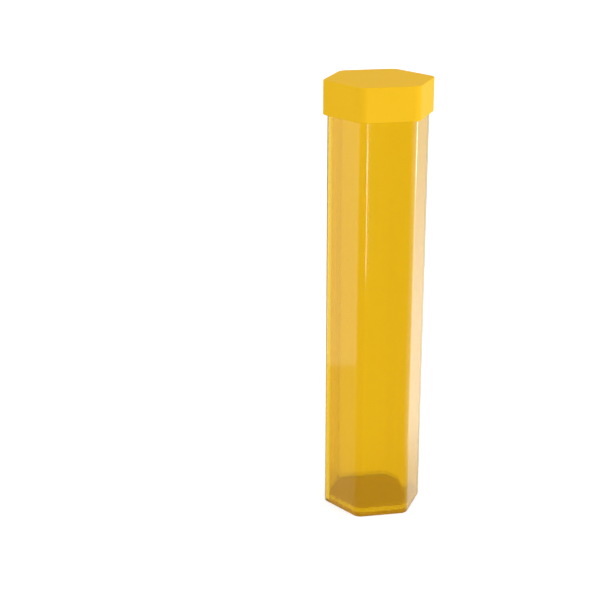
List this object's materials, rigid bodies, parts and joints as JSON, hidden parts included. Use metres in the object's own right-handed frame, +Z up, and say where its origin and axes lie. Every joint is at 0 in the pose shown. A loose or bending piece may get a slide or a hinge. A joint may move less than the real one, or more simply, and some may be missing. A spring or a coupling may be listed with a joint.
{
  "type": "playmat tube",
  "caption": "Hexagonal storage tube for a rolled playmat: clear amber sleeve with a bonded floor and an opaque slip-on lid.",
  "frame": {"origin": "middle of the tube's lower end, on the surface that it stands on", "axes": "+Z up along the tube towards the lid; -Y out of one flat of the hexagon, with its corners on -X and +X"},
  "size_m": [0.0912, 0.0814, 0.372],
  "materials": {
    "clear_amber": "clear tinted plastic, polished",
    "lid_yellow": "satin moulded plastic"
  },
  "bodies": {
    "tube": {"tube_sleeve": "clear_amber", "floor_plate": "clear_amber"},
    "lid": {"lid": "lid_yellow"}
  },
  "joints": [
    {"name": "lid_lift", "type": "slide", "parent": "tube", "child": "lid", "axis": [0, 0, 1], "range_m": [0, 0.12]}
  ]
}
